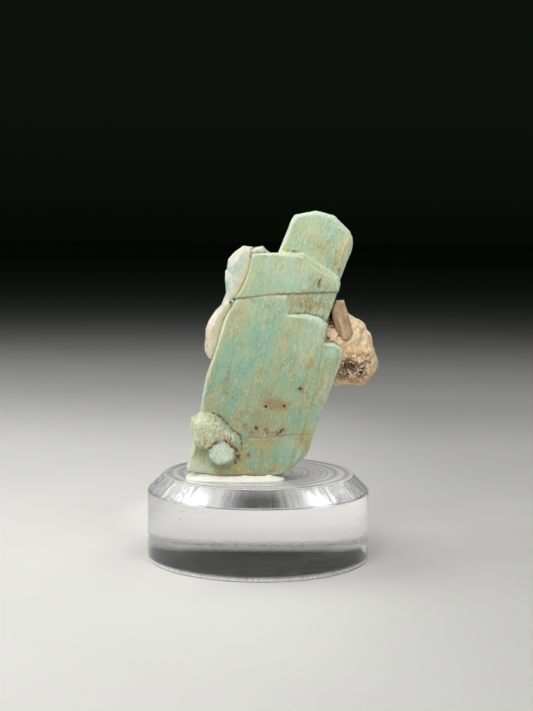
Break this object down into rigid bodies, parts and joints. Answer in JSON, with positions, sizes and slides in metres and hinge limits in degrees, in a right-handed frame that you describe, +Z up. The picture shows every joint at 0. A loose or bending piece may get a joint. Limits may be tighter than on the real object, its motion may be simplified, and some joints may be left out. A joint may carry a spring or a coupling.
{
  "type": "mineral specimen on a display base",
  "caption": "Blocky blue-green amazonite crystal group with smoky quartz and pale feldspar on brown matrix rock, held upright by putty on a clear acrylic disc",
  "frame": {"origin": "centre of the flat underside of the display base", "axes": "X to the viewer's right, Y away from the viewer, Z up along the axis of the disc"},
  "size_m": [0.0415, 0.04, 0.0624],
  "materials": {
    "acrylic": "clear cast acrylic with polished faces",
    "putty": "soft off-white mineral putty, pressed by hand",
    "amazonite": "blue-green feldspar, translucent at thin edges, with yellow-brown iron stains",
    "pale_feldspar": "creamy grey-white feldspar, slightly translucent",
    "pale_smoky_quartz": "pale pinkish-brown translucent quartz",
    "smoky_quartz": "brown smoky quartz with glassy prism faces",
    "matrix": "beige to brown granular matrix rock, pitted"
  },
  "bodies": {
    "root": {"display_base": "acrylic", "mounting_putty": "putty", "amazonite": "amazonite", "pale_feldspar": "pale_feldspar", "smoky_quartz_left": "pale_smoky_quartz", "smoky_quartz_right": "smoky_quartz", "matrix_rock": "matrix"}
  },
  "joints": []
}
